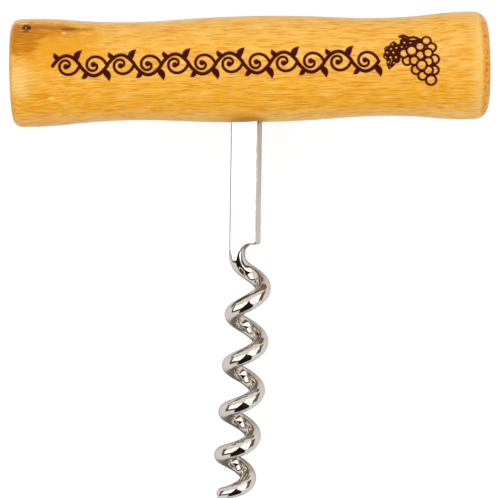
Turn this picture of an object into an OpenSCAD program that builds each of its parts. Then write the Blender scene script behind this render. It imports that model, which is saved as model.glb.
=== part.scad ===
// Corkscrew: a turned wooden handle on a one-piece steel shank and worm.
// It is modelled hanging from the handle's axis, then laid down as it rests on a table:
// the handle lies on its swells and the worm leans down until its last turns touch.

/* [Handle] */
// Length of the turned handle
handle_len = 110; // [95:1:130]
// Diameter of the handle, at the swell near each end
handle_d = 25; // [20:0.1:28]
// Depth turned off the belly between the two waists
belly_cut = 0.2; // [0:0.05:0.4]
// Depth turned off at each waist
waist_cut = 1.15; // [0.6:0.05:2.5]
// Distance of the belly to the right of the handle's middle
belly_x = 1.6; // [-3:0.1:3]
// Distance from the belly to each waist
waist_gap = 28.9; // [24:0.1:32]
// Distance from each end face to the fullest point of its swell
swell_inset = 4.2; // [4:0.1:7]
// Rounding of the left end's edge
left_round = 2; // [0.5:0.1:3.8]
// Rounding of the right end's edge
right_round = 3.3; // [0.5:0.1:3.8]
// Share of the curve between waist and belly that is hollow
hollow_in = 0.35; // [0.2:0.05:0.8]
// Share of the curve between waist and end swell that is hollow
hollow_out = 0.6; // [0.2:0.05:0.8]

/* [Shank] */
// Width of the flat shank
shank_w = 6.8; // [5.5:0.1:8]
// Thickness of the flat shank
shank_t = 3.1; // [2.5:0.1:4.5]
// Rounding of the shank's long edges
edge_round = 0.45; // [0.1:0.05:0.8]
// Distance from the handle's axis to the shoulder
shoulder_drop = 40.6; // [34:0.1:50]
// Rounding of the shoulder's outer corner
shoulder_round = 0.7; // [0.2:0.1:1.2]
// Place of the shank along the handle, from its middle
shank_x = -0.6; // [-3:0.1:3]
// Lean of the shank to the left, in degrees
shank_lean = 1.8; // [0:0.1:4]
// Turn of the shank about its own axis, in degrees
shank_turn = 21; // [0:1:45]

/* [Tang] */
// Depth of the tang in the wood
tang_depth = 17; // [14:0.5:20]
// Width of the tang between its barbs
tang_w = 5.2; // [4:0.1:5.4]
// Number of barbs on each edge of the tang
barbs = 3; // [1:1:3]
// Distance from one barb to the next
barb_pitch = 3; // [2:0.1:3.5]
// Width of the tang's blunt end
tang_end_w = 3.2; // [2:0.1:4]
// Clearance round the tang in its mortise
tang_fit = 0.05; // [0.02:0.01:0.2]
// Space left past the tang's end in the mortise
mortise_spare = 1; // [0.5:0.1:2]

/* [Neck] */
// Width of the neck under the shoulder, on the shank's left edge
neck_w = 3.0; // [2.4:0.1:3.6]
// Radius of the fillet between shoulder and neck
neck_fillet = 2.3; // [0.8:0.1:2.6]
// Distance below the shoulder where the flat neck starts to turn round
round_from = 1.2; // [0.5:0.1:3]
// Distance below the shoulder where it is fully round
round_to = 4.6; // [4:0.1:9]

/* [Worm] */
// Diameter of the worm's wire
wire_d = 3.75; // [3:0.05:4.2]
// Outside diameter of the worm at its first turn
coil_d = 10.6; // [9.5:0.1:12]
// Outside diameter of the worm at its last turn
coil_tip_d = 10.4; // [9.5:0.05:12]
// Rise of the first turn
pitch_top = 13.4; // [10:0.1:15]
// Rise of the last turn
pitch_tip = 9.6; // [8.5:0.1:13]
// Length of the worm below the shoulder, along its axis
worm_len = 58.5; // [45:0.1:70]
// Distance below the shoulder where the winding starts
wind_from = 2.6; // [2:0.1:5]
// Length over which the winding comes up to its full rate
wind_ease = 4.3; // [2:0.1:8]
// Angle about the worm's axis at which the neck meets it
start_angle = -166; // [-200:1:-130]
// Angle by which the worm's axis is bent over its length
worm_bend = 10; // [0:0.1:15]
// Direction of that bend about the shank
bend_dir = -149; // [-180:1:180]
// Diameter of the worm's blunt tip
tip_d = 2.8; // [1.5:0.1:3]
// Length along the axis over which the wire thins to its tip
tip_taper = 3.2; // [1:0.1:5]

/* [Hidden] */
$fn = 96;
wood_tone = [0.87, 0.63, 0.29];
steel_tone = [0.78, 0.77, 0.76];
handle_r = handle_d / 2;
belly_r = handle_r - belly_cut;
waist_r = handle_r - waist_cut;
swell_x = handle_len / 2 - swell_inset;
arc_steps = 6;
mouth_r = belly_r;
tang_top = tang_depth - mouth_r;
barb_step = 0.15;
neck_mid = (neck_w - shank_w) / 2;
coil_r = (coil_d - wire_d) / 2;
coil_tip_r = (coil_tip_d - wire_d) / 2;
rate_top = 360 / pitch_top;
rate_tip = 360 / pitch_tip;
wind_full = wind_from + wind_ease;
bend_slope = tan(worm_bend);
ring_sides = 24;
worm_rings = 184;
tip_caps = [25, 50, 75];
probe = 0.01;

function unit(v) = v / norm(v);
function smooth(x) = let (t = min(1, max(0, x))) t * t * (3 - 2 * t);
function mix(a, b, t) = a + (b - a) * t;

// Handle: one S-curve of two arcs that meet on a common tangent, level at both its ends
function s_curve(x0, r0, x1, r1, hollow) =
    let (run = abs(x1 - x0),
         rise = r1 - r0,
         dir = sign(x1 - x0),
         both_r = (run * run + rise * rise) / (2 * rise),
         sweep = asin(run / both_r),
         low_r = hollow * both_r,
         high_r = both_r - low_r)
    concat(
        [for (i = [0 : arc_steps])
            let (a = sweep * i / arc_steps)
            [x0 + dir * low_r * sin(a), r0 + low_r * (1 - cos(a))]],
        [for (i = [arc_steps - 1 : -1 : 0])
            let (a = sweep * i / arc_steps)
            [x1 - dir * high_r * sin(a), r1 - high_r * (1 - cos(a))]]);

function reversed(list) = [for (i = [len(list) - 1 : -1 : 0]) list[i]];
function inner(list) = [for (i = [1 : len(list) - 2]) list[i]];

// Rounded edge of an end face, from the face up to the swell; side is -1 on the left and 1 on the right
function end_corner(side, radius) =
    [for (i = [0 : arc_steps])
        let (a = 90 * i / arc_steps)
        [side * (handle_len / 2 - radius + radius * cos(a)), handle_r - radius + radius * sin(a)]];

function handle_outline() =
    let (left_waist = belly_x - waist_gap,
         right_waist = belly_x + waist_gap)
    concat(
        [[-handle_len / 2, 0]],
        end_corner(-1, left_round),
        reversed(s_curve(left_waist, waist_r, -swell_x, handle_r, hollow_out)),
        inner(s_curve(left_waist, waist_r, belly_x, belly_r, hollow_in)),
        reversed(s_curve(right_waist, waist_r, belly_x, belly_r, hollow_in)),
        inner(s_curve(right_waist, waist_r, swell_x, handle_r, hollow_out)),
        [[swell_x, handle_r]],
        reversed(end_corner(1, right_round)),
        [[handle_len / 2, 0]]);

module handle() {
    color(wood_tone)
        lying()
        difference() {
            rotate([0, 90, 0])
                rotate_extrude()
                polygon([for (p = handle_outline()) [p[1], p[0]]]);
            on_shank_axis()
                mortise();
        }
}

// Blind pocket for the tang, open through the underside of the handle
module mortise() {
    wide = shank_w + 2 * tang_fit;
    thick = shank_t + 2 * tang_fit;
    top = tang_top + mortise_spare;
    translate([-wide / 2, -2 * mouth_r, -thick / 2])
        cube([wide, top + 2 * mouth_r, thick]);
}

// Places in the shank's own frame: x across its flat face, y up its axis, z out of the face.
// A level is a distance below the shoulder, so the tang has negative ones.
function level_y(level) = -shoulder_drop - level;

// Angle wound so far, and the turns' radius, at a level below the shoulder
function wound(level) =
    level < wind_from ? 0
    : level < wind_full ? rate_top * pow(level - wind_from, 2) / (2 * wind_ease)
    : let (past = level - wind_full)
        rate_top * wind_ease / 2 + rate_top * past
        + (rate_tip - rate_top) * past * past / (2 * (worm_len - wind_full));
function turn_r(level) = mix(coil_r, coil_tip_r, max(0, level) / worm_len);

// The worm's axis starts beside the neck and bends in a parabola
function axis_start() = [neck_mid - coil_r * cos(start_angle), -coil_r * sin(start_angle)];
function axis_drift(level) = bend_slope * level * level / (2 * worm_len);
function axis_point(level) =
    let (start = axis_start(), drift = level > 0 ? axis_drift(level) : 0)
    [start[0] + drift * cos(bend_dir), level_y(level), start[1] + drift * sin(bend_dir)];
function axis_way(level) =
    let (slope = bend_slope * max(0, level) / worm_len)
    unit([slope * cos(bend_dir), -1, slope * sin(bend_dir)]);

// Outward direction from the worm's axis to its wire, and the wire's centre
function outward(level) =
    let (way = axis_way(level),
         across = unit(cross([0, 0, 1], way)),
         front = cross(way, across),
         a = start_angle + wound(level))
    across * cos(a) + front * sin(a);
function wire_point(level) = axis_point(level) + turn_r(level) * outward(level);
function wire_way(level) =
    level <= 0 ? [0, -1, 0] : unit(wire_point(level + probe) - wire_point(level - probe));

// Section of the steel: a rectangle of half sizes a and b with round corners.
// It becomes a circle where a, b and the corner radius are equal.
function section(a, b, corner) =
    let (per = ring_sides / 4)
    [for (q = [0 : 3], i = [0 : per - 1])
        let (t = 90 * (q + (i + 0.5) / per),
             sx = (q == 0 || q == 3) ? 1 : -1,
             sy = q < 2 ? 1 : -1)
        [sx * (a - corner) + corner * cos(t), sy * (b - corner) + corner * sin(t)]];

// A ring of the flat tang or shank, with its left and right edges
function flat_ring(y, left, right) =
    [for (p = section((right - left) / 2, shank_t / 2, edge_round))
        [(left + right) / 2 + p[0], y, p[1]]];

// A ring of the neck or worm. Its section keeps its turn against the outward direction.
// The fillet makes it wider on the right, and the tip pushes it ahead and shrinks it.
function wire_ring(level, wider = 0, ahead = 0, shrink = 1) =
    let (way = wire_way(level),
         rough = outward(level),
         out = unit(rough - (rough * way) * way),
         side = cross(way, out),
         u = out * cos(start_angle) - side * sin(start_angle),
         v = out * sin(start_angle) + side * cos(start_angle),
         t = smooth((level - round_from) / (round_to - round_from)),
         thin = smooth((level - worm_len + tip_taper) / tip_taper),
         wire_r = mix(wire_d, tip_d, thin) / 2 * shrink,
         a = mix(neck_w / 2, wire_r, t),
         b = mix(shank_t / 2, wire_r, t),
         corner = mix(edge_round, wire_r, t),
         centre = wire_point(level) + way * ahead)
    [for (p = section(a + wider / 2, b, corner))
        centre + u * (p[0] + wider / 2) + v * p[1]];

function barb_rings() =
    [for (i = [0 : barbs - 1], low = [0, 1])
        let (y = tang_top - barb_pitch * (i + 1) - low * barb_step,
             half = (low == 0 ? shank_w : tang_w) / 2)
        flat_ring(y, -half, half)];

function shank_rings() = concat(
    [flat_ring(tang_top, -tang_end_w / 2, tang_end_w / 2)],
    barb_rings(),
    [flat_ring(-mouth_r + barb_pitch / 2, -shank_w / 2, shank_w / 2)],
    [for (i = [0 : arc_steps])
        let (a = 90 * i / arc_steps)
        flat_ring(level_y(-shoulder_round + shoulder_round * sin(a)),
                  -shank_w / 2, shank_w / 2 - shoulder_round * (1 - cos(a)))]);

function fillet_rings() =
    [for (i = [1 : arc_steps + 1])
        let (a = 90 * i / (arc_steps + 1))
        wire_ring(neck_fillet * (1 - cos(a)), wider = neck_fillet * (1 - sin(a)))];

function coil_rings() =
    [for (i = [1 : worm_rings])
        wire_ring(mix(neck_fillet, worm_len, i / worm_rings))];

function tip_rings() =
    [for (a = tip_caps) wire_ring(worm_len, ahead = tip_d / 2 * sin(a), shrink = cos(a))];

// The same rings as they stand in the handle, before it is laid down
function turned(p) =
    let (x = p[0] * cos(shank_turn) - p[2] * sin(shank_turn),
         z = p[0] * sin(shank_turn) + p[2] * cos(shank_turn))
    [x * cos(shank_lean) + p[1] * sin(shank_lean) + shank_x,
     p[1] * cos(shank_lean) - x * sin(shank_lean),
     z];

worm_points = [for (ring = concat(shank_rings(), fillet_rings(), coil_rings(), tip_rings()))
    for (p = ring) turned(p)];

// Tilt at which the first point of the worm meets the plane that the handle lies on
function touch_tilt(p) = asin(min(1, handle_r / norm([p[1], p[2]]))) - atan2(-p[2], -p[1]);
rest_tilt = min([for (p = worm_points) if (p[1] < -shoulder_drop) touch_tilt(p)]);
reach = min([for (p = worm_points) p[1] * cos(rest_tilt) - p[2] * sin(rest_tilt)]);

module lying() {
    translate([0, -(handle_r + reach) / 2, handle_r])
        rotate([rest_tilt, 0, 0])
        children();
}

module on_shank_axis() {
    translate([shank_x, 0, 0])
        rotate([0, 0, -shank_lean])
        rotate([0, -shank_turn, 0])
        children();
}

// Skin over rings of equal count, closed by a flat cap at each end
module loft(points, sides) {
    rings = len(points) / sides;
    last = (rings - 1) * sides;
    polyhedron(points, concat(
        [[for (j = [0 : sides - 1]) j]],
        [for (i = [0 : rings - 2], j = [0 : sides - 1], half = [0, 1])
            let (a = i * sides + j,
                 b = i * sides + (j + 1) % sides)
            half == 0 ? [a, b + sides, b] : [a, a + sides, b + sides]],
        [[for (j = [0 : sides - 1]) last + sides - 1 - j]]));
}

// Tang, shank, neck and worm are one piece of steel
module worm() {
    color(steel_tone)
        lying()
        loft(worm_points, ring_sides);
}

handle();
worm();
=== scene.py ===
import math

import bmesh
import bpy
import numpy as np
from mathutils import Matrix, Vector


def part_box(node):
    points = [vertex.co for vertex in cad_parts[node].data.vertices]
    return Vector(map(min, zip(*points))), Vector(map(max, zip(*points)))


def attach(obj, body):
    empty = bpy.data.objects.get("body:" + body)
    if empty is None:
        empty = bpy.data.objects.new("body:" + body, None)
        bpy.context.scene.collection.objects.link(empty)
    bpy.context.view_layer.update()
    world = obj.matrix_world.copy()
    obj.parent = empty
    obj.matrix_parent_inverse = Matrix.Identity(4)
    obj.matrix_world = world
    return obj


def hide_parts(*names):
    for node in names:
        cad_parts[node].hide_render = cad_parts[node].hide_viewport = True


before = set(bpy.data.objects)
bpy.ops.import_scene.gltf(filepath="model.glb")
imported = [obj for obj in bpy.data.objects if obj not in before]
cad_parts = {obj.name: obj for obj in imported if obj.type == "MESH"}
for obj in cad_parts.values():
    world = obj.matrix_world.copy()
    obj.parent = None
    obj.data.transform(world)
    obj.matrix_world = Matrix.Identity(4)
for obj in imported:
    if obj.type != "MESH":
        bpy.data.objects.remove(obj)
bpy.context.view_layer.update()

# All piece sizes are in millimetres; a mesh is scaled to metres when it is put in its place
mm = 0.001


def smoothStep(x):
    t = min(1, max(0, x))
    return t * t * (3 - 2 * t)


def mix(a, b, t):
    return a + (b - a) * t


def meshObject(name, bm):
    mesh = bpy.data.meshes.new(name)
    bm.to_mesh(mesh)
    bm.free()
    made = bpy.data.objects.new(name, mesh)
    bpy.context.scene.collection.objects.link(made)
    return made


# Handle: a turned bar with two waists, its axis along X

handle = {
    "length": 110,
    "diameter": 25,
    "bellyCut": 0.2,      # turned off at the belly
    "waistCut": 1.15,     # turned off at each waist
    "bellyX": 1.6,
    "waistGap": 28.9,
    "swellInset": 4.2,    # fullest point of the swell, from the end face
    "leftRound": 2,
    "rightRound": 3.3,
    "hollowIn": 0.35,     # hollow share of the curve between waist and belly
    "hollowOut": 0.6,     # and of the one between waist and swell
    "sides": 72,
    "step": 1,            # between the profile's points
    "cornerSteps": 8,
    "faceRing": 5,        # radius of a ring of corners on the end faces
    "edgeRing": 0.3,      # other corners keep this distance from the rounded edges
    "patch": (-51, 46),   # the stretch with fine faces for the burnt ornament
    "patchTurn": (-33, 47),  # and its angles from the top, towards +Y
    "patchCuts": 6,
    "patchMargin": 1,     # corners this far past the stretch are set back as well
    "turnMargin": 6,      # and these degrees past its angles
    "sharpAngle": 35,
}
handleR = handle["diameter"] / 2
handleEnd = handle["length"] / 2
nodeLow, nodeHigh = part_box("handle")
axisY = (nodeLow.y + nodeHigh.y) / 2 / mm
axisZ = handleR


def curveRadius(x, lowX, lowR, highX, highR, hollow):
    # two arcs on a common tangent, level at both ends
    run = abs(highX - lowX)
    rise = highR - lowR
    both = (run * run + rise * rise) / (2 * rise)
    hollowR = hollow * both
    roundR = both - hollowR
    d = abs(x - lowX)
    if d < hollowR * run / both:
        return lowR + hollowR - math.sqrt(hollowR ** 2 - d ** 2)
    return highR - roundR + math.sqrt(roundR ** 2 - (run - d) ** 2)


def handleRadius(x):
    bellyR = handleR - handle["bellyCut"]
    waistR = handleR - handle["waistCut"]
    leftWaist = handle["bellyX"] - handle["waistGap"]
    rightWaist = handle["bellyX"] + handle["waistGap"]
    swellX = handleEnd - handle["swellInset"]
    roundEdge = handle["leftRound"] if x < 0 else handle["rightRound"]
    past = abs(x) - (handleEnd - roundEdge)
    if past > 0:
        return handleR - roundEdge + math.sqrt(max(0, roundEdge ** 2 - past ** 2))
    if abs(x) > swellX:
        return handleR
    if x < leftWaist:
        return curveRadius(x, leftWaist, waistR, -swellX, handleR, handle["hollowOut"])
    if x < handle["bellyX"]:
        return curveRadius(x, leftWaist, waistR, handle["bellyX"], bellyR, handle["hollowIn"])
    if x < rightWaist:
        return curveRadius(x, rightWaist, waistR, handle["bellyX"], bellyR, handle["hollowIn"])
    return curveRadius(x, rightWaist, waistR, swellX, handleR, handle["hollowOut"])


# Worm: tang, flat shank, neck and spiral in one piece of plated steel

worm = {
    "shankWidth": 6.8,
    "shankThick": 3.1,
    "edgeRound": 0.45,
    "shoulderDrop": 40.6,   # handle axis to shoulder
    "shoulderRound": 0.7,
    "shankX": -0.6,
    "lean": 1.8,            # degrees, to the left
    "turn": 21,             # degrees, about the shank's own axis
    "tangDepth": 17,
    "tangWidth": 5.2,
    "barbs": 3,
    "barbPitch": 3,
    "barbStep": 0.15,
    "tangEnd": 3.2,
    "tangFit": 0.05,
    "mortiseSpare": 1,
    "mortiseBelow": 5,      # faces this far below the handle's axis may be cut
    "mortiseAround": 7,     # and this far to each side of the shank
    "neckWidth": 3,
    "neckFillet": 2.3,
    "roundFrom": 1.2,       # below the shoulder the flat neck turns round
    "roundTo": 4.6,
    "roundCorner": 0.985,   # corner of the round wire's section, as a share of its radius
    "wire": 3.75,
    "coil": 10.6,
    "coilTip": 10.4,
    "pitchTop": 13.4,
    "pitchTip": 9.6,
    "length": 58.5,
    "windFrom": 2.6,
    "windEase": 4.3,
    "startAngle": -166,
    "bend": 10,
    "bendTowards": -149,
    "tip": 2.8,
    "tipTaper": 3.2,
    "cornerPoints": 12,     # points on each quarter of the section
    "shoulderSteps": 8,
    "filletSteps": 14,
    "rings": 460,
    "tipRings": range(10, 90, 8),  # degrees from the last full ring to the tip's end
    "hair": 0.01,           # what counts as no distance
    "sharpAngle": 50,
}
coilR = (worm["coil"] - worm["wire"]) / 2
coilTipR = (worm["coilTip"] - worm["wire"]) / 2
neckMid = (worm["neckWidth"] - worm["shankWidth"]) / 2
mouthR = handleR - handle["bellyCut"]
tangTop = worm["tangDepth"] - mouthR


def wound(level):
    # degrees turned about the worm's axis at a level below the shoulder
    past = level - worm["windFrom"]
    topRate = 360 / worm["pitchTop"]
    tipRate = 360 / worm["pitchTip"]
    if past < 0:
        return 0
    if past < worm["windEase"]:
        return topRate * past ** 2 / (2 * worm["windEase"])
    past -= worm["windEase"]
    left = worm["length"] - worm["windFrom"] - worm["windEase"]
    return topRate * (worm["windEase"] / 2 + past) + (tipRate - topRate) * past ** 2 / (2 * left)


def outward(level):
    # from the worm's axis to its wire, and the axis point at that level
    start = math.radians(worm["startAngle"])
    towards = math.radians(worm["bendTowards"])
    bend = math.tan(math.radians(worm["bend"])) / worm["length"]
    below = max(0, level)
    drift = bend * below ** 2 / 2
    centre = Vector((
        neckMid - coilR * math.cos(start) + drift * math.cos(towards),
        -worm["shoulderDrop"] - level,
        -coilR * math.sin(start) + drift * math.sin(towards)))
    way = Vector((bend * below * math.cos(towards), -1, bend * below * math.sin(towards))).normalized()
    across = Vector((0, 0, 1)).cross(way).normalized()
    front = way.cross(across)
    angle = start + math.radians(wound(level))
    return across * math.cos(angle) + front * math.sin(angle), centre


def wirePoint(level):
    out, centre = outward(level)
    return centre + out * mix(coilR, coilTipR, max(0, level) / worm["length"])


def section(a, b, corner):
    # rectangle of half sizes a and b with round corners, a circle where all three are equal
    points = []
    for quarter in range(4):
        for i in range(worm["cornerPoints"]):
            t = math.radians(90 * (quarter + i / (worm["cornerPoints"] - 1)))
            sideX = 1 if quarter in (0, 3) else -1
            sideY = 1 if quarter < 2 else -1
            points.append((sideX * (a - corner) + corner * math.cos(t),
                           sideY * (b - corner) + corner * math.sin(t)))
    return points


def wireWay(level):
    if level > 0:
        return (wirePoint(level + worm["hair"]) - wirePoint(level - worm["hair"])).normalized()
    return Vector((0, -1, 0))


def wireRing(level, wider=0, ahead=0, shrink=1):
    way = wireWay(level)
    out = outward(level)[0]
    out = (out - way * out.dot(way)).normalized()
    side = way.cross(out)
    start = math.radians(worm["startAngle"])
    u = out * math.cos(start) - side * math.sin(start)
    v = out * math.sin(start) + side * math.cos(start)
    left = min(1, max(0, 1 - (level - worm["roundFrom"]) / (worm["roundTo"] - worm["roundFrom"])))
    t = 1 - left * left
    thin = smoothStep((level - worm["length"] + worm["tipTaper"]) / worm["tipTaper"])
    wireR = mix(worm["wire"], worm["tip"], thin) / 2 * shrink
    a = mix(worm["neckWidth"] / 2, wireR, t)
    b = mix(worm["shankThick"] / 2, wireR, t)
    corner = mix(worm["edgeRound"], wireR * worm["roundCorner"], t)
    centre = wirePoint(level) + way * ahead
    return [centre + u * (p + wider / 2) + v * q for p, q in section(a + wider / 2, b, corner)]


def blankOutline():
    # the flat blank seen from its face, clockwise from the tang's end to the neck
    half = worm["shankWidth"] / 2
    right = [(worm["tangEnd"] / 2, tangTop)]
    for i in range(worm["barbs"]):
        y = tangTop - worm["barbPitch"] * (i + 1)
        right += [(half, y), (worm["tangWidth"] / 2, y - worm["barbStep"])]
    right.append((half, -mouthR + worm["barbPitch"] / 2))
    left = [(-x, y) for x, y in reversed(right)]
    shoulder = -worm["shoulderDrop"]
    corner = worm["shoulderRound"]
    for i in range(worm["shoulderSteps"] + 1):
        a = math.radians(90 * i / worm["shoulderSteps"])
        right.append((half - corner * (1 - math.cos(a)), shoulder + corner * (1 - math.sin(a))))
    fillet = worm["neckFillet"]
    neckRight = worm["neckWidth"] - half
    last = math.acos(1 - worm["roundFrom"] / fillet)
    for i in range(worm["filletSteps"] + 1):
        a = last * i / worm["filletSteps"]
        right.append((neckRight + fillet * (1 - math.sin(a)), shoulder - fillet * (1 - math.cos(a))))
    return right + [(-half, shoulder - worm["roundFrom"])] + left


def coilRings():
    # from the flat neck, which turns round, to the blunt tip
    rings = []
    fillet = worm["neckFillet"]
    for i in range(worm["rings"] + 1):
        level = mix(worm["roundFrom"], worm["length"], i / worm["rings"])
        wider = 0
        if level < fillet:
            wider = fillet * (1 - math.sin(math.acos(1 - level / fillet)))
        rings.append(wireRing(level, wider))
    for a in worm["tipRings"]:
        t = math.radians(a)
        rings.append(wireRing(worm["length"], ahead=worm["tip"] / 2 * math.sin(t), shrink=math.cos(t)))
    return rings


def shankFrame():
    # from the shank's own frame to the handle's
    return (Matrix.Translation((worm["shankX"], 0, 0))
            @ Matrix.Rotation(math.radians(-worm["lean"]), 4, "Z")
            @ Matrix.Rotation(math.radians(-worm["turn"]), 4, "Y"))


def restTilt(points):
    # the handle rolls until the worm's lowest turn meets the table
    tilts = []
    for p in points:
        if p.y < -worm["shoulderDrop"]:
            tilts.append(math.asin(min(1, handleR / math.hypot(p.y, p.z))) - math.atan2(-p.z, -p.y))
    return min(tilts)


def toPlace():
    return Matrix.Scale(mm, 4) @ Matrix.Translation((0, axisY, axisZ)) @ Matrix.Rotation(tilt, 4, "X")


rings = coilRings()
tilt = restTilt([shankFrame() @ p for ring in rings for p in ring])
print("rest tilt", round(math.degrees(tilt), 3), "degrees")


def finishPiece(bm, name, node, material, sharpAngle):
    # sharp edges by angle, smooth faces, and area weights so that flat faces stay flat
    for edge in bm.edges:
        edge.smooth = len(edge.link_faces) == 2 and edge.calc_face_angle(0) < math.radians(sharpAngle)
    for face in bm.faces:
        face.smooth = True
    piece = meshObject(name, bm)
    piece.data.materials.append(material)
    weighted = piece.modifiers.new("flatFaces", "WEIGHTED_NORMAL")
    weighted.keep_sharp = True
    weighted.weight = 100
    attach(piece, "root")
    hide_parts(node)
    print(name, len(piece.data.polygons), "faces")
    return piece


# Burnt ornament: a running vine and a bunch of grapes.
# Places are (x, s): x along the handle, s over its surface from the top line, towards +Y

vine = {
    "left": -44.9,
    "right": 29.4,
    "middle": 1.4,
    "arches": 12,
    "swing": 2.35,        # of the stem to each side
    "fullness": 0.85,     # below 1 makes the arches fuller
    "archPoints": 40,
    "stemWide": 0.4,      # half widths of the burnt lines
    "curlFrom": 0.34,
    "curlWide": 0.26,
    "curlTurns": 1.3,
    "curlIn": 0.9,        # share of its reach that a tendril loses
    "curlEase": 0.62,
    "curlLift": 0.1,
    "curlPoints": 90,
    "berry": 0.62,
    # leaves on each arch: point on the stem, heading in degrees, length and half width
    "leaves": ((34, 62, 2.7, 0.62), (9, 128, 1.674, 0.465)),
    "leafPoints": 31,
    "leafTip": 0.1,
    "leafBow": 0.14,      # share of its length by which a leaf is bowed
    "leafFull": 0.75,     # below 1 brings a leaf's fullest place nearer to its foot
    "leafPointed": 1.1,   # above 1 makes its ends more pointed
    "burnDepth": 0.1,
    "burnSlope": 0.25,    # width over which the wood sinks to that depth
    "farthest": 3.0,      # distances past this don't matter
}
bunch = {
    "grape": 1.02,
    "large": 1.16,
    "line": 0.25,
    # small grapes from the back to the front, then the large ones before them
    "grapes": ((42, 1.5), (41.9, -1), (41.4, 4.3), (40.3, 6), (40.6, 1), (38.8, 2.5), (35.8, 1.3),
               (37.8, -0.8), (39.3, -2.2), (37.4, 1.3), (35.1, 3), (40.6, 3), (38.8, 4.6), (40.6, -1)),
    "largeGrapes": ((36.9, 3.6), (39.1, 0.2), (41.2, -3.3)),
    # leaves: foot, lobes by their heading in degrees and their length, and half width of a lobe
    "leaf": ((32.7, 3),
             ((86, 3), (141, 2.3), (201, 2.4), (254, 3.8), (58, 2.6), (0, 1.4), (295, 2.4)), 1.05),
    "topLeaf": ((35.3, 5.4), ((0, 2.9), (120, 1), (225, 1.5), (270, 1.3)), 0.75),
    "leafHeart": 0.9,     # radius of the round middle of a leaf
    "leafRim": 0.3,       # dark rim without dots or veins
    "veinedFrom": 3.2,    # shorter lobes have no vein
    "veinFrom": 0.35,     # shares of the lobe's length
    "veinTo": 0.8,
    "veinWide": (0.1, 0.04),
    "stalks": (((34.3, 7.3), (35.1, 7.6), (36.4, 6.9), (37.5, 7.1), (39.2, 6.2)),
               ((34.9, 6.9), (36.7, 6), (39.2, 6.1))),
    "stalkWide": 0.33,
    "linePoints": 12,     # on a vein and between two corners of a stalk
    "dotRows": range(-6, 7),
    "dotGap": 1.3,
    "dotRowGap": 1.118,
    "dotNudge": 0.2,      # how unevenly the dots lie, as a share of their gap
    "dotFactors": (12.9, 78.2, 37.7),  # any large numbers, to nudge each dot another way
    "dot": 0.24,
}


def stroke(path, width, endWidth=None):
    # a line of round dabs that goes from one half width to the other
    points = np.array(path, float)
    return points, np.linspace(width, width if endWidth is None else endWidth, len(points))


def leafStroke(startX, startS, heading, length, width, bow=vine["leafBow"]):
    # a pointed leaf, fullest before its middle and bowed to one side
    path = []
    widths = []
    for i in range(vine["leafPoints"]):
        t = i / (vine["leafPoints"] - 1)
        aside = bow * length * math.sin(math.pi * t)
        path.append((startX + length * t * math.cos(heading) - aside * math.sin(heading),
                     startS + length * t * math.sin(heading) + aside * math.cos(heading)))
        wide = math.sin(math.pi * t ** vine["leafFull"]) ** vine["leafPointed"]
        widths.append(vine["leafTip"] + width * wide)
    return np.array(path), np.array(widths)


def vineStrokes():
    # a stem in arches; at the foot of each arch a tendril curls back under it round a berry
    arch = (vine["right"] - vine["left"]) / vine["arches"]
    middle = vine["middle"]
    stem = []
    for i in range(vine["arches"]):
        up = 1 if i % 2 == 0 else -1
        for k in range(vine["archPoints"]):
            t = k / vine["archPoints"]
            rise = vine["swing"] * math.sin(math.pi * t) ** vine["fullness"]
            stem.append((vine["left"] + arch * (i + t), middle + up * rise))
    strokes = [stroke(stem, vine["stemWide"])]
    for i in range(vine["arches"]):
        up = 1 if i % 2 == 0 else -1
        centreX = vine["left"] + arch * (i + 0.5)
        centreS = middle + up * vine["curlLift"]
        curl = []
        for k in range(vine["curlPoints"]):
            t = k / (vine["curlPoints"] - 1)
            turn = -up * 2 * math.pi * vine["curlTurns"] * t
            reach = arch / 2 * (1 - vine["curlIn"] * t ** vine["curlEase"])
            curl.append((centreX + reach * math.cos(turn), centreS + reach * math.sin(turn)))
        strokes.append(stroke(curl, vine["curlFrom"], vine["curlWide"]))
        strokes.append(stroke([curl[-1]], vine["berry"]))
        for point, heading, length, width in vine["leaves"]:
            rootX, rootS = stem[i * vine["archPoints"] + point]
            strokes.append(leafStroke(rootX, rootS, up * math.radians(heading), length, width))
    return strokes


def distanceTo(strokes, x, s):
    # worked out in short stretches, and only for the places near each
    best = np.full(len(x), vine["farthest"])
    margin = 2
    stretch = 60
    for points, widths in strokes:
        near = ((x > points[:, 0].min() - margin) & (x < points[:, 0].max() + margin)
                & (s > points[:, 1].min() - margin) & (s < points[:, 1].max() + margin))
        rows = np.nonzero(near)[0]
        for k in range(0, len(points), stretch):
            part = points[k:k + stretch]
            sub = rows[(x[rows] > part[:, 0].min() - margin) & (x[rows] < part[:, 0].max() + margin)]
            if not len(sub):
                continue
            away = np.hypot(x[sub, None] - part[None, :, 0], s[sub, None] - part[None, :, 1])
            d = away - widths[None, k:k + stretch]
            best[sub] = np.minimum(best[sub], d.min(1))
    return best


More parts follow.
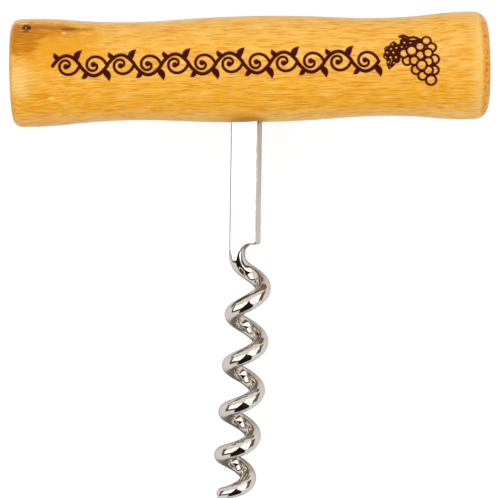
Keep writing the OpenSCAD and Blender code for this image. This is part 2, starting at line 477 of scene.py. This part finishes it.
def bladeDistance(leaf, x, s):
    # a lobed leaf with the vein of its longest lobe and a stipple of dots left light
    (cx, cs), lobes, width = leaf
    blade = np.hypot(x - cx, s - cs) - bunch["leafHeart"]
    veins = []
    for angle, reach in lobes:
        a = math.radians(angle)
        blade = np.minimum(blade, distanceTo([leafStroke(cx, cs, a, reach, width, 0)], x, s))
        if reach > bunch["veinedFrom"]:
            vein = [(cx + reach * t * math.cos(a), cs + reach * t * math.sin(a))
                    for t in np.linspace(bunch["veinFrom"], bunch["veinTo"], bunch["linePoints"])]
            veins.append(stroke(vein, *bunch["veinWide"]))
    dots = []
    first, second, third = bunch["dotFactors"]
    for i in bunch["dotRows"]:
        for k in bunch["dotRows"]:
            uneven = math.sin(first * i + second * k)
            column = i + 0.5 * (k % 2) + bunch["dotNudge"] * uneven
            row = k + bunch["dotNudge"] * math.cos(third * uneven)
            dots.append((cx + column * bunch["dotGap"], cs + row * bunch["dotRowGap"]))
    light = [stroke([d], bunch["dot"]) for d in dots] + veins
    return np.maximum(blade, -np.maximum(blade + bunch["leafRim"], distanceTo(light, x, s)))


def burnDistance(x, s):
    # millimetres to the edge of the burnt lines, negative inside them
    best = distanceTo(vineStrokes(), x, s)
    best = np.minimum(best, bladeDistance(bunch["topLeaf"], x, s))
    best = np.minimum(best, bladeDistance(bunch["leaf"], x, s))
    for corners in bunch["stalks"]:
        stalk = []
        for (ax, s0), (bx, s1) in zip(corners, corners[1:]):
            steps = np.linspace(0, 1, bunch["linePoints"])
            stalk += [(mix(ax, bx, t), mix(s0, s1, t)) for t in steps]
        best = np.minimum(best, distanceTo([stroke(stalk, bunch["stalkWide"])], x, s))
    # each grape hides what was drawn before it
    for kind, size in (("grapes", bunch["grape"]), ("largeGrapes", bunch["large"])):
        for gx, gs in bunch[kind]:
            r = np.hypot(x - gx, s - gs)
            best = np.maximum(best, size - r)
            best = np.minimum(best, abs(r - size) - bunch["line"])
    return best


def endProfile(side, size):
    # half an end face, from its middle outward, and its rounded edge
    points = [(side * handleEnd, r) for r in (0, handle["faceRing"], handleR - size - handle["edgeRing"])]
    for i in range(handle["cornerSteps"] + 1):
        a = math.radians(90 * i / handle["cornerSteps"])
        points.append((side * (handleEnd - size * (1 - math.cos(a))), handleR - size * (1 - math.sin(a))))
    return points


def sideProfile():
    points = []
    x = -handleEnd + math.ceil(handle["leftRound"]) + handle["step"]
    while x < handleEnd - handle["rightRound"] - handle["edgeRing"]:
        points.append((x, handleRadius(x)))
        x += handle["step"]
    return points


def spin(bm, profile):
    # a profile, given as places along X and radii, is turned about the X axis
    verts = [bm.verts.new((x, 0, r)) for x, r in profile]
    edges = [bm.edges.new(pair) for pair in zip(verts, verts[1:])]
    bmesh.ops.spin(bm, geom=verts + edges, cent=(0, 0, 0), axis=(1, 0, 0), dvec=(0, 0, 0),
                   angle=2 * math.pi, steps=handle["sides"], use_merge=True, use_duplicate=False)


def sinkMortise(bm):
    # its outline is cut into the underside, and the faces inside it are sunk to its bottom
    toShank = shankFrame().inverted()
    halfX = worm["shankWidth"] / 2 + worm["tangFit"]
    halfZ = worm["shankThick"] / 2 + worm["tangFit"]
    for normal, half in ((Vector((1, 0, 0)), halfX), (Vector((0, 0, 1)), halfZ)):
        for side in (-1, 1):
            near = [f for f in bm.faces
                    if (toShank @ f.calc_center_median()).y < -worm["mortiseBelow"]
                    and abs(f.calc_center_median().x - worm["shankX"]) < worm["mortiseAround"]]
            around = set(near) | {e for f in near for e in f.edges} | {v for f in near for v in f.verts}
            bmesh.ops.bisect_plane(bm, geom=list(around), plane_co=shankFrame() @ (normal * side * half),
                                   plane_no=shankFrame().to_3x3() @ normal, dist=0.0001)
    inside = []
    for f in bm.faces:
        c = toShank @ f.calc_center_median()
        if c.y < -worm["mortiseBelow"] and abs(c.x) < halfX and abs(c.z) < halfZ:
            inside.append(f)
    sunk = bmesh.ops.extrude_face_region(bm, geom=inside)["geom"]
    bmesh.ops.delete(bm, geom=inside, context="FACES")
    for v in [g for g in sunk if isinstance(g, bmesh.types.BMVert)]:
        p = toShank @ v.co
        p.y = tangTop + worm["mortiseSpare"]
        v.co = shankFrame() @ p
    print("mortise sunk")


def burnOrnament(bm, burnEdge):
    # fine faces where the ornament is, set back on the turned surface and sunk where it is burnt
    low, high = handle["patch"]
    lowTurn, highTurn = (math.radians(a) for a in handle["patchTurn"])
    margin = handle["patchMargin"]
    turnMargin = math.radians(handle["turnMargin"])
    patch = []
    for f in bm.faces:
        c = f.calc_center_median()
        if low < c.x < high and lowTurn < math.atan2(c.y, c.z) < highTurn:
            patch.append(f)
    bmesh.ops.subdivide_edges(bm, edges=list({e for f in patch for e in f.edges}),
                              cuts=handle["patchCuts"], use_grid_fill=True)
    inPatch = []
    for v in bm.verts:
        turn = math.atan2(v.co.y, v.co.z)
        if low - margin < v.co.x < high + margin and lowTurn - turnMargin < turn < highTurn + turnMargin:
            inPatch.append((v, turn, handleRadius(v.co.x)))
    x = np.array([v.co.x for v, turn, r in inPatch])
    s = np.array([turn * r for v, turn, r in inPatch])
    distance = burnDistance(x, s)
    for v in bm.verts:
        v[burnEdge] = vine["farthest"]
    for (v, turn, r), d in zip(inPatch, distance):
        v[burnEdge] = float(min(d, vine["farthest"]))
        r -= vine["burnDepth"] * smoothStep(0.5 - d / vine["burnSlope"])
        v.co.y, v.co.z = r * math.sin(turn), r * math.cos(turn)
    manyCornered = [f for f in bm.faces if len(f.verts) > 4]
    bmesh.ops.triangulate(bm, faces=manyCornered, ngon_method="BEAUTY")


def makeHandle(material):
    bm = bmesh.new()
    burnEdge = bm.verts.layers.float.new("burnEdge")
    leftEnd = endProfile(-1, handle["leftRound"])
    rightEnd = endProfile(1, handle["rightRound"])
    spin(bm, leftEnd + sideProfile() + rightEnd[::-1])
    bmesh.ops.remove_doubles(bm, verts=bm.verts, dist=0.001)
    bmesh.ops.dissolve_degenerate(bm, edges=bm.edges, dist=0.001)
    bmesh.ops.recalc_face_normals(bm, faces=bm.faces)
    sinkMortise(bm)
    burnOrnament(bm, burnEdge)
    bmesh.ops.transform(bm, matrix=toPlace(), verts=bm.verts)
    return finishPiece(bm, "turned_handle", "handle", material, handle["sharpAngle"])


def makeWorm(material):
    bm = bmesh.new()
    place = bm.verts.layers.int.new("place")
    thick = worm["shankThick"]
    hair = worm["hair"]
    low = -worm["shoulderDrop"] - worm["roundFrom"]
    mouth = -mouthR + worm["barbPitch"] / 2
    face = bm.faces.new([bm.verts.new((x, y, thick / 2)) for x, y in blankOutline()])
    grown = bmesh.ops.extrude_face_region(bm, geom=[face], use_keep_orig=True)["geom"]
    back = [g for g in grown if isinstance(g, bmesh.types.BMVert)]
    bmesh.ops.translate(bm, vec=(0, 0, -thick), verts=back)
    bmesh.ops.recalc_face_normals(bm, faces=bm.faces)
    # round the long edges below the tang, with the shoulder and its fillet
    rims = []
    for e in bm.edges:
        y = [v.co.y for v in e.verts]
        z = [v.co.z for v in e.verts]
        if abs(z[0] - z[1]) < hair and max(y) < mouth + hair and max(y) > low + hair:
            rims.append(e)
    bmesh.ops.bevel(bm, geom=rims, affect="EDGES", offset=worm["edgeRound"], offset_type="OFFSET",
                    segments=worm["cornerPoints"] - 1, profile=0.5, material=-1, clamp_overlap=False)
    # open the neck's end and draw it out into the spiral
    end = [f for f in bm.faces if f.calc_center_median().y < low + hair and abs(f.normal.y) > 0.9]
    bmesh.ops.delete(bm, geom=end, context="FACES_ONLY")
    edges = [e for e in bm.edges if len(e.link_faces) == 1]
    for v in {v for e in edges for v in e.verts}:
        v[place] = min(range(len(rings[0])), key=lambda i: (rings[0][i] - v.co).length)
    print("neck loop", len(edges), "edges for", len(rings[0]), "points")
    for ring in rings[1:]:
        grown = bmesh.ops.extrude_edge_only(bm, edges=edges)["geom"]
        edges = [g for g in grown if isinstance(g, bmesh.types.BMEdge)]
        for v in [g for g in grown if isinstance(g, bmesh.types.BMVert)]:
            v.co = ring[v[place]]
        edges = [e for e in edges if len(e.link_faces) == 1]
    bmesh.ops.holes_fill(bm, edges=[e for e in bm.edges if len(e.link_faces) < 2], sides=0)
    bmesh.ops.remove_doubles(bm, verts=bm.verts, dist=0.0005)
    bmesh.ops.dissolve_degenerate(bm, edges=bm.edges, dist=0.0005)
    bmesh.ops.recalc_face_normals(bm, faces=bm.faces)
    bmesh.ops.transform(bm, matrix=toPlace() @ shankFrame(), verts=bm.verts)
    return finishPiece(bm, "steel_worm", "worm", material, worm["sharpAngle"])


# Materials

class Nodes:
    # for wiring a node tree in few words
    def __init__(self, tree):
        self.tree = tree
        self.tree.nodes.clear()

    def add(self, kind, inputs=None, **settings):
        made = self.tree.nodes.new(kind)
        for key, value in settings.items():
            setattr(made, key, value)
        for key, value in (inputs or {}).items():
            if isinstance(value, bpy.types.NodeSocket):
                self.tree.links.new(value, made.inputs[key])
            else:
                made.inputs[key].default_value = value
        return made

    def math(self, operation, a, b=0.5):
        return self.add("ShaderNodeMath", {0: a, 1: b}, operation=operation).outputs[0]

    def product(self, a, b):
        return self.math("MULTIPLY", a, b)

    def ramp(self, value, low, high, toLow=0.0, toHigh=1.0):
        made = self.add("ShaderNodeMapRange", {"Value": value, "From Min": low, "From Max": high,
                                               "To Min": toLow, "To Max": toHigh},
                        interpolation_type="SMOOTHSTEP")
        return made.outputs["Result"]

    def noise(self, vector, scale, detail=2.0, roughness=0.5, distortion=0.0):
        made = self.add("ShaderNodeTexNoise", {"Vector": vector, "Scale": scale, "Detail": detail,
                                               "Roughness": roughness, "Distortion": distortion})
        return made.outputs["Fac"]

    def mixColor(self, factor, a, b):
        return self.add("ShaderNodeMix", {0: factor, 6: a, 7: b}, data_type="RGBA").outputs[2]

    def scaled(self, vector, scale, move=(0, 0, 0)):
        made = self.add("ShaderNodeMapping", {"Vector": vector, "Location": move, "Scale": scale})
        return made.outputs["Vector"]

    def length(self, vector):
        return self.add("ShaderNodeVectorMath", {0: vector}, operation="LENGTH").outputs["Value"]


def newMaterial(name):
    material = bpy.data.materials.new(name)
    material.use_nodes = True
    return material, Nodes(material.node_tree)


wood = {
    "pale": (0.93, 0.60, 0.19, 1),
    "light": (0.89, 0.49, 0.085, 1),
    "honey": (0.91, 0.42, 0.018, 1),
    "amber": (0.78, 0.28, 0.009, 1),
    "brown": (0.50, 0.16, 0.008, 1),
    "gold": (0.80, 0.33, 0.01, 1),
    "stain": (0.47, 0.14, 0.003, 1),
    "endGrain": (0.78, 0.32, 0.04, 1),
    "burnt": (0.055, 0.003, 0.001, 1),
    "scorched": (0.45, 0.13, 0.01, 1),
    "roughness": 0.45,
    "specular": 0.08,
    "sheen": 0.45,
    "sheenRoughness": 0.3,
    "relief": 0.0002,    # metres, of the fibres and ripples
    # noises: scale along X, Y and Z, shift, detail, roughness and distortion
    "noises": {
        "uneven": ((0.35, 0.9, 0.9), (0, 0, 0), 3, 0.6, 0),
        "figure": ((0.035, 0.3, 0.3), (0, 0, 0), 2, 0.55, 0.5),
        "mottle": ((0.22, 1.25, 1.25), (3, 0, 0), 3, 0.55, 0.12),
        "fibres": ((0.24, 3.9, 3.9), (0, 0, 0), 2, 0.6, 0),
        "threads": ((0.16, 3.1, 3.1), (0, 7, 0), 1, 0.5, 0),
        "pores": ((0.1, 3, 3), (0, 0, 0), 2, 0.7, 0),
    },
    # layers of the grain, and of painted light and shade by place: a noise or place, where the layer
    # starts and is full, share and colour
    "layers": (
        # painted shade: deeper honey towards the lower side
        ("y", 3, -8, 1, "honey"),
        ("figure", 0.42, 0.68, 0.35, "honey"),
        # painted highlights: paler along the lower and the upper edge
        ("y", -8.8, -11.8, 0.8, "pale"),
        ("y", 9.6, 11.8, 0.45, "pale"),
        ("mottle", 0.48, 0.3, 0.55, "pale"),
        ("mottle", 0.5, 0.7, 0.7, "amber"),
        ("fibres", 0.48, 0.32, 0.45, "pale"),
        ("fibres", 0.5, 0.66, 0.6, "amber"),
        ("fibres", 0.54, 0.7, 0.45, "brown"),
        ("threads", 0.58, 0.72, 0.45, "amber"),
    ),
    "ripple": 0.8,       # spacing of the ripples near the ends
    "rippleUneven": 9,   # how far they wander
    "slant": 0.16,       # their rise towards the right
    "growth": 1.7,       # a year's growth
    "growthUneven": 3,
    "pith": (-5, 24),    # the tree's middle, from the handle's axis towards -Y and +Z
    "patchDepth": 1.6,   # half size of a patch into the wood, as a share of that along Y
    # patches: centre, half sizes, raggedness, where they start and are full, share and colour
    # painted highlight: a pale spot near the left end
    "endHighlight": ((-52.4, -1), (3.2, 4.6), 2.6, (1.4, 0.3), 0.75, "pale"),
    "patches": (
        # stains at the left end and the dark streak in them
        ((-46.5, 6), (14, 6.5), 2.4, (1.3, 0.5), 0.8, "gold"),
        ((-52.5, 7.1), (5.2, 4.2), 1.8, (1.3, 0.6), 0.9, "goldOrStain"),
        ((-47, 9.3), (9.5, 2.4), 1.8, (1.3, 0.5), 0.7, "goldOrStain"),
        ((-44.5, 9.7), (12, 0.7), 1.8, (1.15, 0.7), 0.5, "stain"),
        ((-41.4, 9.4), (2.6, 0.55), 1.2, (1.15, 0.7), 1, "brown"),
        ((-47.6, 9.8), (2.6, 0.5), 1.2, (1.15, 0.7), 0.7, "brown"),
        # painted shade: deeper, darker wood round the mortise, where the shank meets the handle
        ((-1.4, -11.6), (5.4, 2.6), 0.6, (1.3, 0.3), 1, "gold"),
        ((-1, -12.3), (5, 3), 0.4, (1.3, 0.3), 1, "stain"),
        ((-0.6, -12), (4, 1.8), 0.4, (1.15, 0.7), 0.45, "brown"),
        # pale flecks
        ((-42.5, 8.4), (0.5, 0.35), 0, (1.15, 0.7), 1, "pale"),
        ((-45.4, -6.6), (0.9, 0.35), 0.8, (1.15, 0.7), 1, "pale"),
        # the streak's dark middle
        ((-41.7, 9.4), (1.9, 0.42), 1.6, (1.15, 0.7), 0.4, "burnt"),
    ),
    "knot": ((-51.1, 9.75), (1.1, 1.35), 1.6, (1.15, 0.7)),
    "knotHeart": ((-51.2, 9.9), (0.2, 0.4), 0, (1.15, 0.7)),
}


def spot(n, at, centre, halves, rag, fade):
    # a soft patch about a place on the upper side of the handle
    cx, cy = centre
    cz = math.sqrt(max(0, handleRadius(cx) ** 2 - cy ** 2))
    halfX, halfY = halves
    halfZ = halfY * wood["patchDepth"]
    shrink = (1 / halfX, 1 / halfY, 1 / halfZ)
    near = n.scaled(at["place"], shrink, (-cx / halfX, -cy / halfY, -cz / halfZ))
    off = n.math("ADD", n.length(near), n.product(n.math("SUBTRACT", at["uneven"], 0.5), rag))
    return n.ramp(off, *fade)


def grainColor(n, at):
    # long fibres over a soft mottling, with painted shade deepening the lower side and painted highlights
    # along the upper and lower edge
    base = wood["light"]
    for value, low, high, share, color in wood["layers"]:
        base = n.mixColor(n.ramp(at[value], low, high, 0, share), base, wood[color])
    return base


def endRipples(n, at):
    # ripples that slant a little, and how strongly they show towards the ends
    slanted = n.math("SUBTRACT", at["y"], n.product(at["x"], wood["slant"]))
    turns = n.product(slanted, 2 * math.pi / wood["ripple"])
    wave = n.math("SINE", n.math("ADD", turns, n.product(at["uneven"], wood["rippleUneven"])))
    ends = n.math("MAXIMUM", n.ramp(at["x"], -37, -47), n.ramp(at["x"], 44, 51, 0, 0.4))
    return wave, n.product(ends, n.ramp(at["uneven"], 0.3, 0.55))


def endHighlights(n, at, base):
    # painted highlights: the rounded ends painted paler, and a pale spot near the left end
    x, y = at["x"], at["y"]
    left = n.product(n.ramp(x, -49.5, -52.5, 0, 0.7), n.ramp(y, -7.5, -4.5))
    base = n.mixColor(left, base, wood["pale"])
    base = n.mixColor(n.ramp(x, 49.5, 52.5, 0, 0.6), base, wood["pale"])
    *shape, share, color = wood["endHighlight"]
    return n.mixColor(n.product(spot(n, at, *shape), share), base, wood[color])


def stainedAndShaded(n, at, base):
    # real stains, the streak and the knot, and painted shade round the mortise
    colors = dict(wood)
    colors["goldOrStain"] = n.mixColor(n.ramp(at["fibres"], 0.25, 0.6), wood["gold"], wood["stain"])
    for *shape, share, color in wood["patches"]:
        base = n.mixColor(n.product(spot(n, at, *shape), share), base, colors[color])
    knot = n.math("SUBTRACT", spot(n, at, *wood["knot"]), spot(n, at, *wood["knotHeart"]))
    knot = n.product(knot, n.ramp(at["fibres"], 0.4, 0.52, 0.6, 1))
    return n.mixColor(knot, base, wood["burnt"])


def endGrained(n, at, base):
    # end grain past the rounded edges, with darker blotches on the right
    x, uneven = at["x"], at["uneven"]
    past = n.math("ADD", x, n.product(n.math("SUBTRACT", uneven, 0.5), 1.4))
    base = n.mixColor(n.ramp(past, 52.5, 53.5, 0, 0.8), base, wood["endGrain"])
    blotches = n.product(n.ramp(past, 53, 54), n.ramp(at["mottle"], 0.48, 0.62, 0, 0.8))
    base = n.mixColor(blotches, base, wood["brown"])
    base = n.mixColor(n.ramp(past, -54, -55, 0, 0.7), base, wood["endGrain"])
    # growth rings and pores on the end faces
    onEnd = n.ramp(n.math("ABSOLUTE", x), handleEnd - 0.4, handleEnd - 0.1)
    fromPith = n.length(n.scaled(at["place"], (0, 1, 1), (0, *wood["pith"])))
    years = n.product(fromPith, 2 * math.pi / wood["growth"])
    years = n.math("SINE", n.math("ADD", years, n.product(uneven, wood["growthUneven"])))
    base = n.mixColor(n.product(n.ramp(years, -0.2, 1, 0, 0.4), onEnd), base, wood["amber"])
    return n.mixColor(n.product(n.ramp(at["pores"], 0.56, 0.7, 0, 0.7), onEnd), base, wood["brown"])


def makeWood():
    material, n = newMaterial("lacquered_wood")
    objectPlace = n.add("ShaderNodeTexCoord").outputs["Object"]
    # millimetres from the handle's axis
    place = n.scaled(objectPlace, (1 / mm, 1 / mm, 1 / mm), (0, -axisY, -axisZ))
    parts = n.add("ShaderNodeSeparateXYZ", {0: place})
    at = {"place": place, "x": parts.outputs["X"], "y": parts.outputs["Y"]}
    for name, (scale, move, detail, roughness, distortion) in wood["noises"].items():
        at[name] = n.noise(n.scaled(place, scale, move), 1, detail, roughness, distortion)
    wave, ends = endRipples(n, at)
    base = endHighlights(n, at, grainColor(n, at))
    base = n.mixColor(n.product(n.ramp(wave, -0.1, 0.9, 0, 0.5), ends), base, wood["amber"])
    base = endGrained(n, at, stainedAndShaded(n, at, base))
    burnEdge = n.add("ShaderNodeAttribute", attribute_name="burnEdge").outputs["Fac"]
    base = n.mixColor(n.ramp(burnEdge, 0.3, 0.0, 0, 0.35), base, wood["scorched"])
    base = n.mixColor(n.ramp(burnEdge, 0.06, -0.06), base, wood["burnt"])
    # fibres and ripples can be felt a little
    height = n.math("ADD", at["fibres"], n.product(n.product(wave, ends), 0.3))
    bump = n.add("ShaderNodeBump", {"Height": height, "Strength": 0.25, "Distance": wood["relief"]})
    shader = n.add("ShaderNodeBsdfPrincipled", {
        "Base Color": base, "Roughness": wood["roughness"], "Normal": bump.outputs["Normal"],
        "Specular IOR Level": wood["specular"], "Sheen Weight": wood["sheen"],
        "Sheen Roughness": wood["sheenRoughness"]})
    n.add("ShaderNodeOutputMaterial", {"Surface": shader.outputs[0]})
    return material


steel = {
    "color": (0.66, 0.60, 0.54, 1),
    "roughness": 0.07,
    "waves": 0.45,       # scale of the surface's faint waviness
    "relief": 0.0006,    # and its height in metres
}


def makeSteel():
    material, n = newMaterial("plated_steel")
    objectPlace = n.add("ShaderNodeTexCoord").outputs["Object"]
    place = n.scaled(objectPlace, (1 / mm, 1 / mm, 1 / mm))
    waviness = n.noise(place, steel["waves"], 1)
    bump = n.add("ShaderNodeBump", {"Height": waviness, "Strength": 0.25, "Distance": steel["relief"]})
    shader = n.add("ShaderNodeBsdfPrincipled", {
        "Base Color": steel["color"], "Metallic": 1.0, "Roughness": steel["roughness"],
        "Normal": bump.outputs["Normal"]})
    n.add("ShaderNodeOutputMaterial", {"Surface": shader.outputs[0]})
    return material


# Studio: white floor, lamps, and a dome that only reflections see

studio = {
    "floorHalf": 6,       # metres
    "floorWhite": 0.75,
    "floorMirrored": 0.88,  # as the metal shows it
    "shadowShare": 0.16,  # how much of the floor's white comes from the lamps
    "floorExtra": 0.05,   # a little more, so that the floor is white all over
    "sky": 0.55,
    # panes of the dome in degrees from the zenith: from and to towards +X, from and to towards +Y
    "windows": ((-66, -8, -29, 15), (8, 52, -34, 34)),
    "windowGlow": 2.2,
    "frames": ((-84, -67, -56, 40), (-74, -8, -53, -30), (-70, -38, 16, 22), (53, 82, -36, 48)),
    "frameDark": 0.85,
    "paneEdge": 1.5,      # half width of a pane's soft edge
    "wedgeTop": 16,       # dark gap between the windows, wider towards -Y
    "wedgeSpread": 0.6,
    "wedgeWidest": 34,
    "wedgeDrift": 0.13,
    "wedgeDark": 0.985,
    "wedgeEdge": 2,
    "horizon": (92, 84),  # the gap fades in between these
    # painted shadow: dark cards on the floor that only the metal shows, standing in for the object's
    # shadow beneath it: centre, size, turn in degrees, how far their full tone reaches from the middle to
    # the sides, and grey
    "shadowCards": {
        "worm_shadow_card": ((-3.5, -24, 0.1), (24, 100), -5, 0.04, 0.18),
        "shank_shadow_card": ((-56, 20, 0.2), (110, 46), 0, 0.42, 0.05),
        "strip_shadow_card": ((7.7, 16.5, 0.1), (9.8, 50), -4.8, 0.16, 0.6),
    },
    "cardEnds": 0.35,     # and how far it reaches to their ends
    "cardTint": (1.1, 1, 0.85),
    # painted shade in reflections: a tinted, faintly glowing shell close around the handle, seen only by
    # reflections, so that the metal mirrors the handle duller, as if in shade
    "handleShade": {"gap": 0.06, "reach": 54, "tint": (0.4, 0.45, 0.45, 1), "glow": (0.035, 0.04, 0.055, 1)},
    "lampReach": 0.75,
    "lampSize": 0.7,
    "lampPower": 2.05,
    # degrees from the zenith towards +X and +Y, and share of the power
    "lamps": {"left_lamp": (-45, -12, 1), "right_lamp": (45, -12, 1), "back_lamp": (0, 55, 0.95)},
}
white = (1, 1, 1, 1)


def grey(value):
    return value, value, value, 1


def finishStage(made, material):
    made.data.materials.append(material)


def finishMirrored(made, material):
    # a stage piece that only reflections see, and that is no lamp
    for ray in ("camera", "diffuse", "transmission", "volume_scatter", "shadow"):
        setattr(made, "visible_" + ray, False)
    material.cycles.emission_sampling = "NONE"
    finishStage(made, material)


def makeFloor():
    bm = bmesh.new()
    bmesh.ops.create_grid(bm, x_segments=8, y_segments=8, size=studio["floorHalf"])
    material, n = newMaterial("white_floor")
    rays = n.add("ShaderNodeLightPath")
    mirrored = n.math("MAXIMUM", rays.outputs["Is Glossy Ray"], rays.outputs["Is Transmission Ray"])
    share = studio["shadowShare"]
    plain = n.add("ShaderNodeBsdfDiffuse", {"Color": grey(studio["floorWhite"])})
    bright = n.add("ShaderNodeBsdfDiffuse", {"Color": grey(studio["floorMirrored"])})
    lit = n.add("ShaderNodeBsdfDiffuse", {"Color": grey(share)})
    glow = n.add("ShaderNodeEmission", {"Color": white, "Strength": 1 - share + studio["floorExtra"]})
    shown = n.add("ShaderNodeAddShader", {0: lit.outputs[0], 1: glow.outputs[0]})
    surface = n.add("ShaderNodeMixShader", {0: mirrored, 1: plain.outputs[0], 2: bright.outputs[0]})
    surface = n.add("ShaderNodeMixShader", {0: rays.outputs["Is Camera Ray"], 1: surface.outputs[0],
                                            2: shown.outputs[0]})
    n.add("ShaderNodeOutputMaterial", {"Surface": surface.outputs[0]})
    finishStage(meshObject("floor", bm), material)


def makeShadowCard(name, centre, size, turn, full, tone):
    # painted shadow: a soft-edged dark card that only reflections see, so that the metal's edges darken as
    # over its own shadow
    bm = bmesh.new()
    bmesh.ops.create_grid(bm, x_segments=1, y_segments=1, size=0.5)
    made = meshObject(name, bm)
    made.scale = (size[0] * mm, size[1] * mm, 1)
    made.location = Vector(centre) * mm
    made.rotation_euler = (0, 0, math.radians(turn))
    material, n = newMaterial(name)
    parts = n.add("ShaderNodeSeparateXYZ", {0: n.add("ShaderNodeTexCoord").outputs["Object"]})
    inX = n.ramp(n.math("ABSOLUTE", parts.outputs["X"]), 0.5, full)
    inY = n.ramp(n.math("ABSOLUTE", parts.outputs["Y"]), 0.5, studio["cardEnds"])
    color = [tone * tint for tint in studio["cardTint"]] + [1]
    glow = n.add("ShaderNodeEmission", {"Color": color, "Strength": 1.0})
    clear = n.add("ShaderNodeBsdfTransparent", {"Color": white})
    shown = n.add("ShaderNodeMixShader", {0: n.product(inX, inY), 1: clear.outputs[0], 2: glow.outputs[0]})
    n.add("ShaderNodeOutputMaterial", {"Surface": shown.outputs[0]})
    finishMirrored(made, material)


def makeHandleShade(handleShade):
    # painted shade: a shell that only reflections see, which dims and tints the handle as the metal
    # mirrors it
    bm = bmesh.new()
    reach = handleShade["reach"]
    spin(bm, [(x, handleRadius(x) + handleShade["gap"]) for x in range(-reach, reach + 1)])
    bmesh.ops.transform(bm, matrix=toPlace(), verts=bm.verts)
    material, n = newMaterial("handleShade")
    glow = n.add("ShaderNodeEmission", {"Color": handleShade["glow"], "Strength": 1.0})
    clear = n.add("ShaderNodeBsdfTransparent", {"Color": handleShade["tint"]})
    shown = n.add("ShaderNodeAddShader", {0: clear.outputs[0], 1: glow.outputs[0]})
    n.add("ShaderNodeOutputMaterial", {"Surface": shown.outputs[0]})
    finishMirrored(meshObject("handle_shade_shell", bm), material)


def makeWorld():
    world = bpy.data.worlds.new("studio_white")
    bpy.context.scene.world = world
    world.use_nodes = True
    n = Nodes(world.node_tree)
    rays = n.add("ShaderNodeLightPath")
    seen = n.math("MAXIMUM", rays.outputs["Is Glossy Ray"], rays.outputs["Is Transmission Ray"])
    seen = n.math("MAXIMUM", rays.outputs["Is Camera Ray"], seen)
    strength = n.add("ShaderNodeMapRange", {"Value": seen, "To Min": studio["sky"], "To Max": 1.0})
    background = n.add("ShaderNodeBackground", {"Color": white, "Strength": strength.outputs["Result"]})
    n.add("ShaderNodeOutputWorld", {"Surface": background.outputs[0]})


def within(n, value, low, high):
    edge = studio["paneEdge"]
    return n.product(n.ramp(value, low - edge, low + edge), n.ramp(value, high + edge, high - edge))


def anyPane(n, u, v, panes):
    inside = 0.0
    for fromU, toU, fromV, toV in panes:
        inside = n.math("MAXIMUM", inside, n.product(within(n, u, fromU, toU), within(n, v, fromV, toV)))
    return inside


def makeDome():
    # a large ball around the object: two bright windows, dark between and in front, white elsewhere
    bm = bmesh.new()
    bmesh.ops.create_uvsphere(bm, u_segments=96, v_segments=48, radius=1)
    bmesh.ops.reverse_faces(bm, faces=bm.faces)
    for face in bm.faces:
        face.smooth = True
    material, n = newMaterial("dome_light")
    place = n.add("ShaderNodeTexCoord").outputs["Object"]
    unit = n.add("ShaderNodeVectorMath", {0: place}, operation="NORMALIZE").outputs[0]
    parts = n.add("ShaderNodeSeparateXYZ", {0: unit})
    x, y, z = (parts.outputs[axis] for axis in "XYZ")
    # u and v are degrees from the zenith towards +X and +Y
    polar = n.product(n.math("ARCCOSINE", z), 180 / math.pi)
    flat = n.math("SQRT", n.math("ADD", n.product(x, x), n.product(y, y)))
    flat = n.math("MAXIMUM", flat, 0.0001)
    u = n.product(polar, n.math("DIVIDE", x, flat))
    v = n.product(polar, n.math("DIVIDE", y, flat))
    windows = anyPane(n, u, v, studio["windows"])
    frames = anyPane(n, u, v, studio["frames"])
    below = n.math("SUBTRACT", studio["wedgeTop"], v)
    half = n.math("MINIMUM", n.product(below, studio["wedgeSpread"]), studio["wedgeWidest"])
    aside = n.math("ABSOLUTE", n.math("SUBTRACT", u, n.product(below, studio["wedgeDrift"])))
    edge = studio["wedgeEdge"]
    wedge = n.ramp(n.math("SUBTRACT", aside, half), edge, -edge)
    wedge = n.product(wedge, n.ramp(polar, *studio["horizon"]))
    dark = n.math("MAXIMUM", n.product(wedge, studio["wedgeDark"]), n.product(frames, studio["frameDark"]))
    level = n.math("ADD", 1.0, n.product(windows, studio["windowGlow"] - 1))
    level = n.product(level, n.math("SUBTRACT", 1.0, dark))
    glow = n.add("ShaderNodeEmission", {"Color": white, "Strength": level})
    n.add("ShaderNodeOutputMaterial", {"Surface": glow.outputs[0]})
    finishMirrored(meshObject("reflection_dome", bm), material)


def above(u, v, reach):
    # a place seen from the object at u and v degrees from the zenith
    polar = math.radians(math.hypot(u, v))
    turn = math.atan2(v, u)
    across = math.sin(polar)
    return Vector((across * math.cos(turn), across * math.sin(turn), math.cos(polar))) * reach


def makeLamp(name, u, v, share):
    data = bpy.data.lights.new(name, "AREA")
    data.shape = "RECTANGLE"
    data.size = studio["lampSize"]
    data.size_y = studio["lampSize"]
    data.energy = studio["lampPower"] * share
    lamp = bpy.data.objects.new(name, data)
    bpy.context.scene.collection.objects.link(lamp)
    lamp.location = above(u, v, studio["lampReach"])
    lamp.rotation_euler = lamp.location.to_track_quat("Z", "Y").to_euler()
    lamp.visible_camera = False
    lamp.visible_glossy = False


# Camera: straight down, as the photo shows the corkscrew

camera = {
    "x": -1.07,
    "y": 2.15,
    "aboveAxis": 650,    # of the handle
    "roll": -0.977,      # degrees
    "lens": 203.01,
    "sensor": 36,
}


def makeCamera():
    data = bpy.data.cameras.new("camera")
    data.sensor_fit = "HORIZONTAL"
    data.sensor_width = camera["sensor"]
    data.lens = camera["lens"]
    made = bpy.data.objects.new("camera", data)
    bpy.context.scene.collection.objects.link(made)
    made.location = (camera["x"] * mm, camera["y"] * mm, (axisZ + camera["aboveAxis"]) * mm)
    made.rotation_euler = (0, 0, math.radians(camera["roll"]))
    bpy.context.scene.camera = made


makeHandle(makeWood())
makeWorm(makeSteel())
makeFloor()
for name, card in studio["shadowCards"].items():
    makeShadowCard(name, *card)
makeHandleShade(studio["handleShade"])
makeWorld()
makeDome()
for name, (u, v, share) in studio["lamps"].items():
    makeLamp(name, u, v, share)
makeCamera()
bpy.context.scene.view_settings.view_transform = "Standard"
print("studio ready")
